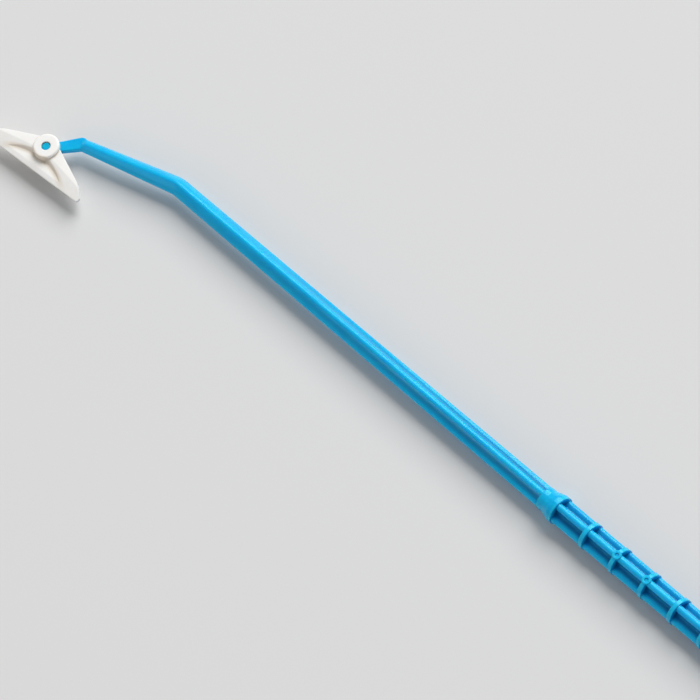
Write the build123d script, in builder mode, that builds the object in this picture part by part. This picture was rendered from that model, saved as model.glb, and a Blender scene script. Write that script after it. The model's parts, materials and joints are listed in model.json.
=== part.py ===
from build123d import *
from math import cos, radians, sin, tan
import os

# Swivel-blade cell scraper: a one-piece moulded handle, bent twice in the plane of its parting
# line, and a one-piece moulded blade that snaps over a boss at the handle's tip and turns there.
# Millimetres. The origin is the centre of the grip's butt, where its cylindrical wall starts.
# +X runs along grip and shaft towards the head, the neck and tip bend towards +Y, and +Z is the
# swivel axis, square to the parting plane. The handle lies flat, with every bend in plane XY.

# Grip: four longitudinal ribs in a plus section, crossed by thin round rings.
GRIP_RADIUS = 3.3
RIB_THICKNESS = 1.7
RIB_INSET = 0.18
RIB_ROOT_RADIUS = 0.5
RING_THICKNESS = 1.05
WINDOW_LENGTH = 8.15
FIRST_WINDOW_LENGTH = 8.7
RING_COUNT = 12
BUTT_LENGTH = 5.1
BUTT_BEVEL = 0.9
COLLAR_PROUD = 0.1
COLLAR_LENGTH = 3.4
COLLAR_CONE_LENGTH = 2.1

# Round ejector pads on the crest of the upper rib, each with a small centre dimple.
PAD_RADIUS = 1.05
PAD_PROUD = 0.05
DIMPLE_RADIUS = 0.45
DIMPLE_DEPTH = 0.2
PAD_RINGS = (1, 2)

# Shaft and neck: a section with four ridges, fluted near the grip and a plain rounded diamond
# further on. Each reach is from the centreline to a ridge's crest.
SHAFT_LENGTH = 118.2
NECK_LENGTH = 24.95
TIP_LENGTH = 7.65
NECK_TURN = 15.8
TIP_TURN = 33.0
BEND_RADIUS = 7.0
STUB_LENGTH = 1.5
STUB_PROUD = 0.1
SHAFT_REACH = 2.65
BEND_REACH = 2.1
NECK_END_REACH = 1.5
RIDGE_HALF_WIDTH = 0.62
RIDGE_DROP = 0.28
FLUTE_DEPTH = 0.45
DIAMOND_BULGE = 0.1

# Tip: a flat tongue that narrows from the end of the neck to a round eye, turned by the second
# bend where the neck ramps down to it, and a boss through the eye that the blade turns on.
TONGUE_ROOT_WIDTH = 3.0
TONGUE_WIDTH = 2.1
TONGUE_THICKNESS = 1.4
TONGUE_BEVEL = 0.2
RAMP_LENGTH = 1.3
RAMP_INSET = 0.06
RAMP_CORNER = 0.2
EYE_RADIUS = 1.9
BOSS_RADIUS = 1.0
BOSS_RECESS = 0.25
BOSS_LEAD = 0.2

# Blade: a low wide fan with a thick rim, a thin web under an arch, and a bevelled scraping edge.
# Its two straight flanks would meet at a peak behind the pin, and curve down towards its ends.
BLADE_WIDTH = 28.2
EDGE_DISTANCE = 5.7
FLANK_ANGLE = 23.0
PEAK_DISTANCE = 2.55
END_CURVE_RUN = 4.1
END_HEIGHT = 0.9
BLADE_CORNER_RADIUS = 0.4
RIM_HUB_THICKNESS = 2.6
RIM_END_THICKNESS = 1.5
WEB_THICKNESS = 0.9
ARCH_TOP = 2.5
ARCH_RADIUS = 16.0
ARCH_SLOPE = 50.0
EDGE_THICKNESS = 0.4
BEVEL_ANGLE = 13.0
HUB_RADIUS = 3.0
HUB_THICKNESS = 3.8
HUB_BEVEL = 0.3
BLADE_TURN = 44.8

# Fit of blade to tip.
BOSS_CLEARANCE = 0.05
TONGUE_CLEARANCE = 0.1
SWIVEL_STOP = 65.0

ring_pitch = WINDOW_LENGTH + RING_THICKNESS
last_ring_front = BUTT_LENGTH + RING_COUNT * ring_pitch
grip_length = last_ring_front + FIRST_WINDOW_LENGTH + COLLAR_LENGTH
neck_direction = NECK_TURN
tip_direction = NECK_TURN + TIP_TURN


def step_on(start, length, direction):
    """Point at a distance from start, in a direction in the bend plane."""
    return start + Vector(cos(radians(direction)), sin(radians(direction))) * length


grip_front = Vector(grip_length, 0)
shaft_start = step_on(grip_front, STUB_LENGTH, 0)
bend_1 = step_on(grip_front, SHAFT_LENGTH, 0)
bend_2 = step_on(bend_1, NECK_LENGTH, neck_direction)
pin_centre = step_on(bend_2, TIP_LENGTH, tip_direction)


def cross_plane(edge, position):
    """Plane square to an edge of the centreline, with its own x to the side and y up."""
    onward = edge % position
    return Plane(origin=edge @ position, x_dir=onward.cross(Vector(0, 0, -1)), z_dir=onward)


def eight_arcs(plane, half_width, half_height, side, top, hollow):
    """Section with rounded sides and top, joined by arcs that dip inwards by hollow or bulge out if it is
    negative. The corners side and top are where the upper right one of these arcs starts and ends."""
    middle = (side + top) / 2
    dip = middle - middle.normalized() * hollow
    with BuildSketch(plane) as section:
        with BuildLine():
            ThreePointArc((side.X, -side.Y), (half_width, 0), side)
            ThreePointArc(side, dip, top)
            ThreePointArc(top, (0, half_height), (-top.X, top.Y))
            ThreePointArc((-top.X, top.Y), (-dip.X, dip.Y), (-side.X, side.Y))
            ThreePointArc((-side.X, side.Y), (-half_width, 0), (-side.X, -side.Y))
            ThreePointArc((-side.X, -side.Y), (-dip.X, -dip.Y), (-top.X, -top.Y))
            ThreePointArc((-top.X, -top.Y), (0, -half_height), (top.X, -top.Y))
            ThreePointArc((top.X, -top.Y), (dip.X, -dip.Y), (side.X, -side.Y))
        make_face()
    return section.sketch


def ridged_section(plane, reach, hollow):
    """Four equal ridges with rounded crests."""
    side = Vector(reach - RIDGE_DROP, RIDGE_HALF_WIDTH)
    top = Vector(RIDGE_HALF_WIDTH, reach - RIDGE_DROP)
    return eight_arcs(plane, reach, reach, side, top, hollow)


def ramp_end_section(plane):
    """Nearly rectangular section just inside the tongue."""
    half_width = TONGUE_ROOT_WIDTH / 2 - RAMP_INSET
    half_height = TONGUE_THICKNESS / 2 - RAMP_INSET
    side = Vector(half_width - RAMP_INSET, half_height - RAMP_CORNER)
    top = Vector(half_width - RAMP_CORNER, half_height - RAMP_INSET)
    return eight_arcs(plane, half_width, half_height, side, top, -RAMP_INSET / 2)


with BuildLine() as centreline:
    FilletPolyline(shaft_start, bend_1, bend_2, radius=BEND_RADIUS)
shaft_run, bend_arc, neck_run = centreline.edges().sort_by(Axis.X)

ramp_top_plane = cross_plane(neck_run, 1).offset(-RAMP_LENGTH)
fluted = ridged_section(cross_plane(shaft_run, 0), SHAFT_REACH, FLUTE_DEPTH)
before_bend = ridged_section(cross_plane(shaft_run, 1), BEND_REACH, -DIAMOND_BULGE)
after_bend = ridged_section(cross_plane(neck_run, 0), BEND_REACH, -DIAMOND_BULGE)
neck_end = ridged_section(ramp_top_plane, NECK_END_REACH, -DIAMOND_BULGE)
ramp_end = ramp_end_section(cross_plane(neck_run, 1))


def rib_section():
    """Plus section of four ribs with fully rounded crests, which end just inside the rings."""
    with BuildSketch(Plane.YZ) as section:
        for turn in (0, 90):
            SlotOverall(2 * (GRIP_RADIUS - RIB_INSET), RIB_THICKNESS, rotation=turn)
        roots = section.vertices().group_by(lambda corner: Vector(corner).length)[0]
        fillet(roots, RIB_ROOT_RADIUS)
    return section.sketch


def tongue_outline(plane, clearance):
    """Tongue on a plane at the pin, narrowing from a round end about the second bend on the plane's x
    axis, with a round eye about the pin. Everything is larger all round by the clearance."""
    with BuildSketch(plane) as outline:
        with Locations((TIP_LENGTH, 0)):
            Circle(TONGUE_ROOT_WIDTH / 2 + clearance)
        Circle(TONGUE_WIDTH / 2 + clearance)
        make_hull()
        Circle(EYE_RADIUS + clearance)
    return outline.sketch


with BuildPart() as tongue:
    pin_plane = Plane(origin=pin_centre, x_dir=bend_2 - pin_centre, z_dir=(0, 0, 1))
    extrude(tongue_outline(pin_plane, 0), amount=TONGUE_THICKNESS / 2, both=True)
    chamfer(tongue.faces().filter_by(Axis.Z).edges(), TONGUE_BEVEL)

with BuildPart() as boss:
    with Locations(pin_centre):
        Cylinder(BOSS_RADIUS, HUB_THICKNESS - 2 * BOSS_RECESS)
    chamfer(boss.edges().filter_by(GeomType.CIRCLE), BOSS_LEAD)

with BuildPart() as handle:
    # Grip: ribs from butt to collar, crossed by the rings.
    extrude(rib_section(), amount=grip_length - COLLAR_CONE_LENGTH, dir=(1, 0, 0))
    for ring in range(RING_COUNT):
        ring_centre = last_ring_front - RING_THICKNESS / 2 - ring * ring_pitch
        with Locations(Plane.YZ.offset(ring_centre)):
            Cylinder(GRIP_RADIUS, RING_THICKNESS)

    # Butt with its rim bevelled in two steps, and the coned collar with the stub where the flutes end.
    bevel_knee = BUTT_BEVEL * sin(radians(45))
    with BuildSketch(Plane.XZ):
        with BuildLine():
            Polyline(
                (-BUTT_BEVEL, 0),
                (BUTT_LENGTH, 0),
                (BUTT_LENGTH, GRIP_RADIUS),
                (0, GRIP_RADIUS),
                (-bevel_knee, GRIP_RADIUS - BUTT_BEVEL + bevel_knee),
                (-BUTT_BEVEL, GRIP_RADIUS - BUTT_BEVEL),
                close=True,
            )
        make_face()
    revolve(axis=Axis.X)
    with BuildSketch(Plane.XZ):
        with BuildLine():
            Polyline(
                (grip_length - COLLAR_LENGTH, 0),
                (grip_length - COLLAR_LENGTH, GRIP_RADIUS + COLLAR_PROUD),
                (grip_length - COLLAR_CONE_LENGTH, GRIP_RADIUS + COLLAR_PROUD),
                (grip_length, SHAFT_REACH + STUB_PROUD),
                (shaft_start.X, SHAFT_REACH + STUB_PROUD),
                (shaft_start.X, 0),
                close=True,
            )
        make_face()
    revolve(axis=Axis.X)

    # Ejector pads on the upper rib, with their dimples.
    for ring in PAD_RINGS:
        pad_x = last_ring_front - RING_THICKNESS / 2 - ring * ring_pitch
        with BuildSketch(Plane.XY.offset(GRIP_RADIUS + PAD_PROUD)):
            with Locations((pad_x, 0)):
                Circle(PAD_RADIUS)
        extrude(amount=-GRIP_RADIUS)
        with BuildSketch(Plane.XY.offset(GRIP_RADIUS + PAD_PROUD)):
            with Locations((pad_x, 0)):
                Circle(DIMPLE_RADIUS)
        extrude(amount=-DIMPLE_DEPTH, mode=Mode.SUBTRACT)

    # Shaft and neck: tapered lofts on both sides of a sweep round the first bend, and the ramp.
    loft(sections=[fluted, before_bend], ruled=True)
    sweep(sections=before_bend, path=bend_arc)
    loft(sections=[after_bend, neck_end], ruled=True)
    loft(sections=[neck_end, ramp_end], ruled=True)

    # Tip: the flat tongue with its eye, and the boss.
    add(tongue.part)
    add(boss.part)

# The blade's own plane has x along the scraping edge and y from the pin out to that edge.
blade_plane = Plane(
    origin=pin_centre,
    x_dir=step_on(Vector(0, 0), 1, tip_direction + BLADE_TURN - 90),
    z_dir=(0, 0, 1),
)
# Sections across the blade's width and along its drop, both standing on the pin's axis.
across_plane = Plane(origin=pin_centre, x_dir=blade_plane.x_dir, z_dir=-blade_plane.y_dir)
drop_plane = Plane(origin=pin_centre, x_dir=blade_plane.y_dir, z_dir=blade_plane.x_dir)


def fan_outline():
    """Two straight flanks from their peak, curving down to the blunt ends of the scraping edge."""
    end_x = BLADE_WIDTH / 2
    curve_x = end_x - END_CURVE_RUN
    flank = Vector(cos(radians(FLANK_ANGLE)), sin(radians(FLANK_ANGLE)))
    peak = (0, -PEAK_DISTANCE)
    curve_start = (curve_x, curve_x * tan(radians(FLANK_ANGLE)) - PEAK_DISTANCE)
    end_top = (end_x, EDGE_DISTANCE - END_HEIGHT)
    end_bottom = (end_x, EDGE_DISTANCE)
    with BuildSketch(blade_plane) as outline:
        with BuildLine():
            Line(peak, curve_start)
            TangentArc(curve_start, end_top, tangent=flank)
            Line(end_top, end_bottom)
            Line(end_bottom, (0, EDGE_DISTANCE))
            mirror(about=Plane.YZ)
        make_face()
        edge_corners = outline.vertices().group_by(Axis(blade_plane.origin, blade_plane.y_dir))[-1]
        fillet(edge_corners, BLADE_CORNER_RADIUS)
    return outline.sketch


def swept_slot():
    """Everything that the tongue and its eye pass through between the two stops, with clearance."""
    reach = BLADE_WIDTH / 2
    stop = radians(SWIVEL_STOP)
    with BuildSketch(blade_plane) as outline:
        for turn in (-SWIVEL_STOP, SWIVEL_STOP):
            add(tongue_outline(Plane.XY.rotated((0, 0, turn - 90)), TONGUE_CLEARANCE))
        corner = Vector(sin(stop), -cos(stop)) * reach
        Polygon((0, 0), (corner.X, corner.Y), (0, -reach), (-corner.X, corner.Y), align=None)
    return outline.sketch


with BuildPart() as hub:
    with Locations(pin_centre):
        Cylinder(HUB_RADIUS, HUB_THICKNESS)
    chamfer(hub.edges().filter_by(GeomType.CIRCLE), HUB_BEVEL)

with BuildPart() as blade:
    # Fan of full thickness, thinned towards its ends.
    extrude(fan_outline(), amount=RIM_HUB_THICKNESS / 2, both=True)
    with BuildSketch(across_plane):
        Polygon(
            (-BLADE_WIDTH / 2, -RIM_END_THICKNESS / 2),
            (0, -RIM_HUB_THICKNESS / 2),
            (BLADE_WIDTH / 2, -RIM_END_THICKNESS / 2),
            (BLADE_WIDTH / 2, RIM_END_THICKNESS / 2),
            (0, RIM_HUB_THICKNESS / 2),
            (-BLADE_WIDTH / 2, RIM_END_THICKNESS / 2),
            align=None,
        )
    extrude(amount=BLADE_WIDTH, both=True, mode=Mode.INTERSECT)

    # Web under the arch with its sloping wall, and the bevels down to the scraping edge, from both
    # faces. The bevels start on the rim, so the arch runs out on them towards the blade's ends.
    bevel_run = (RIM_HUB_THICKNESS - EDGE_THICKNESS) / 2 / tan(radians(BEVEL_ANGLE))
    for face_side in (1, -1):
        with BuildSketch(blade_plane.offset(face_side * WEB_THICKNESS / 2)):
            with Locations((0, ARCH_TOP + ARCH_RADIUS)):
                Circle(ARCH_RADIUS)
        extrude(amount=face_side * RIM_HUB_THICKNESS, taper=-ARCH_SLOPE, mode=Mode.SUBTRACT)
        with BuildSketch(drop_plane):
            Polygon(
                (EDGE_DISTANCE - bevel_run, face_side * RIM_HUB_THICKNESS / 2),
                (EDGE_DISTANCE, face_side * EDGE_THICKNESS / 2),
                (EDGE_DISTANCE, face_side * RIM_HUB_THICKNESS / 2),
                align=None,
            )
        extrude(amount=BLADE_WIDTH, both=True, mode=Mode.SUBTRACT)

    # Hub, with the slot for the tongue and the bore for the boss.
    add(hub.part)
    extrude(swept_slot(), amount=TONGUE_THICKNESS / 2 + TONGUE_CLEARANCE, both=True, mode=Mode.SUBTRACT)
    with BuildSketch(blade_plane):
        Circle(BOSS_RADIUS + BOSS_CLEARANCE)
    extrude(amount=HUB_THICKNESS, both=True, mode=Mode.SUBTRACT)

handle.part.label = "handle"
blade.part.label = "blade"
os.makedirs("parts", exist_ok=True)
for piece in (handle.part, blade.part):
    export_step(piece, f"parts/{piece.label}.step")
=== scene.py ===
import json
import math

import bpy
from mathutils import Matrix, Vector


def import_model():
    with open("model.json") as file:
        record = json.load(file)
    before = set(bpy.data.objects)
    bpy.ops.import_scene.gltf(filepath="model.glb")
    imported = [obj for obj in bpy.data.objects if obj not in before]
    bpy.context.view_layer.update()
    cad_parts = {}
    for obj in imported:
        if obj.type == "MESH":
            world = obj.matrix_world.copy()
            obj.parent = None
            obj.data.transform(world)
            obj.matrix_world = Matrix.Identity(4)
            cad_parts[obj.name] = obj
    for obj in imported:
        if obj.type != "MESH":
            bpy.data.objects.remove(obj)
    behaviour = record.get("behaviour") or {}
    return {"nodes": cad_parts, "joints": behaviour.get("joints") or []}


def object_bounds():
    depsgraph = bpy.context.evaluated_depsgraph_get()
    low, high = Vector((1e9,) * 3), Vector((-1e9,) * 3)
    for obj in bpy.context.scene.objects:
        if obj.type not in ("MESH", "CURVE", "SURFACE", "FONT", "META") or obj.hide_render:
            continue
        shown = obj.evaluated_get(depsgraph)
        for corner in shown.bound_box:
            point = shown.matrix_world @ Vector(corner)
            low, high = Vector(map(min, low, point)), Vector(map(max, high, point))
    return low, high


# Looks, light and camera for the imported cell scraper. Every length is in metres, in the CAD frame:
# +X along the grip and shaft, +Y the side that the neck bends to, +Z up off the surface it lies on.
MM = 0.001

# Along the handle: where the grip's windows end, and where the shaft's flutes start and have run out.
GRIP_FRONT = 124.6 * MM
SHAFT_START = 129.4 * MM
SHAFT_BEND = 244.0 * MM

# Out from the grip's axis: the bottom of its windows, and the crests of its ribs and of its rings.
WINDOW_FLOOR = 1.7 * MM
RIB_CREST = 3.05 * MM
RING_CREST = 3.25 * MM

# The blade's arched groove, as a circle about a point beyond the scraping edge, measured from the
# pin. The groove starts at the hub and fades towards the blade's ends.
GROOVE_CENTRE = Vector((-1.16, 18.46, 0.0)) * MM
GROOVE_RADIUS = 16.1 * MM
GROOVE_FADE_START = 7.0 * MM
GROOVE_FADE_END = 12.5 * MM
HUB_EDGE = 2.9 * MM

# Mould halves meet in the plane of the bends. Small edges are rounded off by this much.
SEAM_HALF_WIDTH = 0.1 * MM
EDGE_ROUNDING = 0.3 * MM

# The lamps are far enough away to light the whole floor evenly, and the floor runs past every view.
KEY_DISTANCE = 5.0
BACK_DISTANCE = 5.6
FLOOR_REACH = 20.0

# The view: a long lens, this far from a point beside the shaft, with this much of it across the frame.
VIEW_OFFSET = Vector((-87.12, -9.57, 0.0)) * MM
VIEW_RIGHT = Vector((-0.681, -0.703, -0.207))
VIEW_BACK = Vector((-0.45, 0.178, 0.875))
VIEW_DISTANCE = 4.0265
VIEW_WIDTH = 151.5 * MM
SENSOR_WIDTH = 36.0

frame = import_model()
cad_low, cad_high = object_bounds()
pin = Vector(frame["joints"][0]["pos_m"])


# ---------------------------------------------------------------- node helpers
class Nodes:
    """Short calls for building one material's nodes."""

    def __init__(self, name):
        self.material = bpy.data.materials.new(name)
        self.material.use_nodes = True
        self.tree = self.material.node_tree
        self.tree.nodes.clear()
        self.shader = self.add("ShaderNodeBsdfPrincipled")
        output = self.add("ShaderNodeOutputMaterial")
        self.link(self.shader.outputs["BSDF"], output.inputs["Surface"])
        self.place = self.add("ShaderNodeTexCoord").outputs["Object"]

    def add(self, kind, **settings):
        node = self.tree.nodes.new(kind)
        for key, value in settings.items():
            setattr(node, key, value)
        return node

    def link(self, source, target):
        self.tree.links.new(source, target)

    def feed(self, socket, value):
        """A number or colour for a socket, or a link into it."""
        if isinstance(value, (int, float, tuple)):
            socket.default_value = value
        else:
            self.link(value, socket)

    def noise(self, per_mm, detail=2.0):
        """Noise on the piece itself, with this many features per millimetre along each axis."""
        mapping = self.add("ShaderNodeMapping")
        mapping.inputs["Scale"].default_value = [share / MM for share in per_mm]
        self.link(self.place, mapping.inputs["Vector"])
        node = self.add("ShaderNodeTexNoise")
        node.inputs["Scale"].default_value = 1.0
        node.inputs["Detail"].default_value = detail
        self.link(mapping.outputs["Vector"], node.inputs["Vector"])
        return node.outputs["Fac"]

    def remap(self, source, low, high, to_low, to_high, kind="LINEAR"):
        node = self.add("ShaderNodeMapRange", interpolation_type=kind)
        for key, value in (("From Min", low), ("From Max", high), ("To Min", to_low), ("To Max", to_high)):
            node.inputs[key].default_value = value
        self.link(source, node.inputs["Value"])
        return node.outputs["Result"]

    def math(self, operation, first, second=None):
        node = self.add("ShaderNodeMath", operation=operation)
        self.feed(node.inputs[0], first)
        if second is not None:
            self.feed(node.inputs[1], second)
        return node.outputs["Value"]

    def mix(self, factor, first, second):
        node = self.add("ShaderNodeMix", data_type="RGBA")
        for socket, value in zip((node.inputs[0], node.inputs[6], node.inputs[7]), (factor, first, second)):
            self.feed(socket, value)
        return node.outputs[2]

    def distance(self, point):
        """Distance of the shaded spot from a point of the CAD frame, with the piece at rest."""
        node = self.add("ShaderNodeVectorMath", operation="DISTANCE")
        self.link(self.place, node.inputs[0])
        node.inputs[1].default_value = point
        return node.outputs["Value"]

    def recess(self, reach, low, high):
        """From 0 on open surfaces to 1 deep in a corner or window of the piece itself, used as the mask for
        painted shade.
        """
        node = self.add("ShaderNodeAmbientOcclusion", only_local=True, samples=8)
        node.inputs["Distance"].default_value = reach
        return self.remap(node.outputs["AO"], low, high, 1.0, 0.0, "SMOOTHSTEP")

    def soft_edges(self, radius):
        """Normal with the piece's sharp edges rounded off."""
        node = self.add("ShaderNodeBevel", samples=6)
        node.inputs["Radius"].default_value = radius
        return node.outputs["Normal"]

    def bump(self, height, distance, normal):
        node = self.add("ShaderNodeBump")
        node.inputs["Distance"].default_value = distance
        self.link(height, node.inputs["Height"])
        self.link(normal, node.inputs["Normal"])
        return node.outputs["Normal"]

    def set(self, **values):
        """Values or links for the shader's sockets, named with _ for a space."""
        for key, value in values.items():
            self.feed(self.shader.inputs[key.replace("_", " ")], value)


def linear(red, green, blue):
    """Linear colour, with alpha, for 8-bit sRGB values."""
    def one(value):
        share = value / 255
        return share / 12.92 if share <= 0.04045 else ((share + 0.055) / 1.055) ** 2.4

    return (one(red), one(green), one(blue), 1.0)


BLUE = linear(14, 184, 234)
BLUE_STREAK = linear(22, 196, 244)
BLUE_CLOUD = linear(8, 176, 230)
# Tones for painted shade in windows, flutes and corners, and for a painted highlight on crests.
BLUE_WINDOW_SHADE = linear(0, 134, 194)
BLUE_CREST_HIGHLIGHT = linear(44, 206, 250)
BLUE_FLUTE_SHADE = linear(0, 122, 186)
BLUE_CORNER_SHADE = linear(0, 90, 166)
WHITE = linear(250, 248, 243)
WHITE_CLOUD = linear(254, 253, 249)
# Tones for painted warm shade along the blade's groove and in its corners.
WHITE_GROOVE_SHADE = linear(216, 198, 174)
WHITE_CORNER_SHADE = linear(214, 196, 172)
FLOOR_GREY = linear(224, 224, 224)


# ---------------------------------------------------------------- materials
def blue_plastic():
    """Glossy injection-moulded styrene, a little translucent, with painted shade in the grip's windows, the
    shaft's flutes and corners, and a painted highlight on the grip's crests.
    """
    m = Nodes("blue_styrene")
    place = m.add("ShaderNodeSeparateXYZ")
    m.link(m.place, place.inputs["Vector"])
    x, y, z = place.outputs

    # Faint flow marks along the shaft, and broad clouds.
    flow = m.remap(m.noise((0.05, 0.5, 0.5), detail=3.0), 0.3, 0.7, 0.0, 1.0)
    cloud = m.remap(m.noise((0.15, 0.15, 0.15)), 0.35, 0.65, 0.0, 0.4)
    blue = m.mix(flow, BLUE, BLUE_STREAK)
    blue = m.mix(cloud, blue, BLUE_CLOUD)

    # Grip: painted shade, deeper towards the bottom of its windows, and a painted highlight on the crests
    # of its ribs and rings.
    from_axis_squared = m.math("ADD", m.math("MULTIPLY", y, y), m.math("MULTIPLY", z, z))
    from_axis = m.math("SQRT", from_axis_squared)
    window_shade = m.remap(from_axis, WINDOW_FLOOR, RIB_CREST, 0.95, 0.0, "SMOOTHSTEP")
    crest_highlight = m.remap(from_axis, RING_CREST - 0.25 * MM, RING_CREST, 0.0, 0.4, "SMOOTHSTEP")
    on_grip = m.remap(x, GRIP_FRONT, GRIP_FRONT + 0.3 * MM, 1.0, 0.0)
    blue = m.mix(m.math("MULTIPLY", window_shade, on_grip), blue, BLUE_WINDOW_SHADE)
    # Painted highlight: a lighter cyan on the outer crests of the grip's ribs and rings.
    blue = m.mix(m.math("MULTIPLY", crest_highlight, on_grip), blue, BLUE_CREST_HIGHLIGHT)

    # Shaft: painted shade along its flutes, which lie between the y and z axes.
    slant = m.math("DIVIDE", m.math("ABSOLUTE", m.math("MULTIPLY", y, z)), from_axis_squared)
    flute_shade = m.remap(slant, 0.25, 0.5, 0.0, 0.8, "SMOOTHSTEP")
    from_start = m.remap(x, SHAFT_START, SHAFT_START + 0.5 * MM, 0.0, 1.0)
    to_bend = m.remap(x, SHAFT_START, SHAFT_BEND, 1.0, 0.0)
    on_shaft = m.math("MULTIPLY", from_start, to_bend)
    blue = m.mix(m.math("MULTIPLY", flute_shade, on_shaft), blue, BLUE_FLUTE_SHADE)
    # Painted shade in the handle's corners and windows, from ambient occlusion.
    blue = m.mix(m.math("MULTIPLY", m.recess(2.2 * MM, 0.3, 0.92), 0.7), blue, BLUE_CORNER_SHADE)

    # Surface: rounded edges, orange peel, and the thin seam where the two mould halves met.
    seam = m.remap(m.math("ABSOLUTE", z), 0.03 * MM, SEAM_HALF_WIDTH, 1.0, 0.0, "SMOOTHSTEP")
    normal = m.bump(m.noise((0.5, 0.8, 0.8)), 0.012 * MM, m.soft_edges(EDGE_ROUNDING))
    normal = m.bump(seam, 0.03 * MM, normal)
    streaks = m.noise((0.25, 3.0, 3.0), detail=3.0)
    m.set(
        Base_Color=blue,
        Roughness=m.remap(streaks, 0.3, 0.7, 0.17, 0.25),
        IOR=1.5,
        Specular_Tint=(0.3, 0.9, 1.0, 1.0),
        Subsurface_Weight=0.5,
        Subsurface_Radius=(0.05, 0.35, 1.0),
        Subsurface_Scale=2.0 * MM,
        Normal=normal,
    )
    return m.material


def white_plastic():
    """Soft natural polyethylene: waxy white, with painted warm shade along the groove and in corners, and a
    faint grain.
    """
    m = Nodes("white_polyethylene")
    cloud = m.remap(m.noise((0.25, 0.25, 0.25), detail=3.0), 0.35, 0.65, 0.0, 1.0)
    white = m.mix(cloud, WHITE, WHITE_CLOUD)

    # Painted warm shade along the groove, outside the hub, and in corners.
    from_groove = m.math("ABSOLUTE", m.math("SUBTRACT", m.distance(pin + GROOVE_CENTRE), GROOVE_RADIUS))
    groove = m.remap(from_groove, 0.2 * MM, 1.1 * MM, 0.55, 0.0, "SMOOTHSTEP")
    from_pin = m.distance(pin)
    past_hub = m.remap(from_pin, HUB_EDGE, HUB_EDGE + 0.4 * MM, 0.0, 1.0)
    towards_end = m.remap(from_pin, GROOVE_FADE_START, GROOVE_FADE_END, 1.0, 0.0, "SMOOTHSTEP")
    groove = m.math("MULTIPLY", groove, m.math("MULTIPLY", past_hub, towards_end))
    white = m.mix(groove, white, WHITE_GROOVE_SHADE)
    # Painted shade in the blade's corners, from ambient occlusion.
    white = m.mix(m.math("MULTIPLY", m.recess(2.5 * MM, 0.5, 0.95), 0.55), white, WHITE_CORNER_SHADE)

    grain = m.noise((2.5, 2.5, 2.5), detail=3.0)
    m.set(
        Base_Color=white,
        Roughness=m.remap(grain, 0.3, 0.7, 0.34, 0.46),
        IOR=1.5,
        Subsurface_Weight=0.25,
        Subsurface_Radius=(1.0, 0.9, 0.75),
        Subsurface_Scale=1.0 * MM,
        Normal=m.bump(grain, 0.006 * MM, m.soft_edges(EDGE_ROUNDING)),
    )
    return m.material


for node, material in (("handle", blue_plastic()), ("blade", white_plastic())):
    for slot in frame["nodes"][node].material_slots:
        slot.material = material


# ---------------------------------------------------------------- stage, light and camera
def floor():
    """Plain pale floor, which the part lies on."""
    m = Nodes("pale_floor")
    m.set(Base_Color=FLOOR_GREY, Roughness=0.85, Specular_IOR_Level=0.2)
    mesh = bpy.data.meshes.new("floor")
    corners = [(x * FLOOR_REACH, y * FLOOR_REACH, 0) for x, y in ((-1, -1), (1, -1), (1, 1), (-1, 1))]
    mesh.from_pydata(corners, [], [(0, 1, 2, 3)])
    mesh.materials.append(m.material)
    plane = bpy.data.objects.new("floor", mesh)
    plane.location.z = cad_low.z
    bpy.context.scene.collection.objects.link(plane)


def softbox(name, direction, distance, size, level):
    """Square lamp that gives a white surface facing it this share of full white."""
    lamp = bpy.data.lights.new(name, "AREA")
    lamp.shape = "SQUARE"
    lamp.size = size
    lamp.energy = level * math.pi**2 * distance**2
    holder = bpy.data.objects.new(name, lamp)
    towards = Vector(direction).normalized()
    holder.location = (cad_low + cad_high) / 2 + towards * distance
    holder.rotation_mode = "QUATERNION"
    holder.rotation_quaternion = towards.to_track_quat("Z", "Y")
    holder.visible_camera = False
    bpy.context.scene.collection.objects.link(holder)


def world(level):
    """Even white light from all round."""
    studio = bpy.data.worlds.new("studio")
    studio.use_nodes = True
    background = studio.node_tree.nodes["Background"]
    background.inputs["Color"].default_value = (1.0, 1.0, 1.0, 1.0)
    background.inputs["Strength"].default_value = level
    bpy.context.scene.world = studio


def camera():
    """Long lens from above the grip, rolled so that the shaft runs up to the left."""
    right = VIEW_RIGHT.normalized()
    back = (VIEW_BACK - right * VIEW_BACK.dot(right)).normalized()
    data = bpy.data.cameras.new("camera")
    data.sensor_width = SENSOR_WIDTH
    data.lens = SENSOR_WIDTH * VIEW_DISTANCE / VIEW_WIDTH
    data.clip_start, data.clip_end = 0.1, 40.0
    holder = bpy.data.objects.new("camera", data)
    holder.rotation_mode = "QUATERNION"
    holder.rotation_quaternion = Matrix((right, back.cross(right), back)).transposed().to_quaternion()
    holder.location = pin + VIEW_OFFSET + back * VIEW_DISTANCE
    bpy.context.scene.collection.objects.link(holder)
    bpy.context.scene.camera = holder


floor()
softbox("key", (0.2, -0.78, 0.75), distance=KEY_DISTANCE, size=3.75, level=1.08)
softbox("back", (0.1, 0.9, 0.45), distance=BACK_DISTANCE, size=3.6, level=0.16)
world(level=0.26)
camera()
bpy.context.scene.view_settings.view_transform = "Standard"
